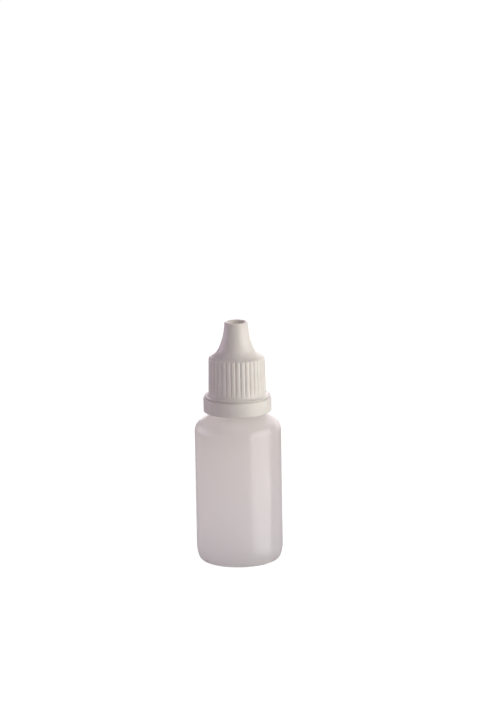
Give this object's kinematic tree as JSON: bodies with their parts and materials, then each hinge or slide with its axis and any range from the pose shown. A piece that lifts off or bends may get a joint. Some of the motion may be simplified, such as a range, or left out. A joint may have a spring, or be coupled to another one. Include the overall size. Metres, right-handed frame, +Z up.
{
  "type": "dropper bottle",
  "caption": "Small squeeze bottle with a nozzle insert in its neck, a ribbed screw cap with a long nose, and a tamper ring.",
  "frame": {"origin": "centre of the base, on the plane that the bottle stands on", "axes": "+Z up along the bottle's axis, which is the cap's axis too; +X to the right and +Y to the back as pictured"},
  "size_m": [0.025, 0.025, 0.0706],
  "materials": {
    "bottle_body": "milky translucent polyethylene, blow-moulded, soft satin sheen",
    "nozzle": "natural translucent polyethylene, satin",
    "ring": "warm white polypropylene, satin",
    "cap": "warm white polypropylene, satin"
  },
  "bodies": {
    "bottle": {"bottle": "bottle_body", "dropper_insert": "nozzle"},
    "ring": {"tamper_ring": "ring"},
    "screw_cap": {"cap": "cap"}
  },
  "joints": [
    {"name": "cap_turn", "type": "hinge", "parent": "bottle", "child": "ring", "pos_m": [0, 0, 0.05], "axis": [0, 0, 1], "range_deg": [0, 450]},
    {"name": "cap_lift", "type": "slide", "parent": "ring", "child": "screw_cap", "axis": [0, 0, 1], "range_m": [0, 0.00313]}
  ],
  "couplings": [
    {"joint": "cap_lift", "follows": "cap_turn", "m_per_rad": 0.00039788}
  ]
}
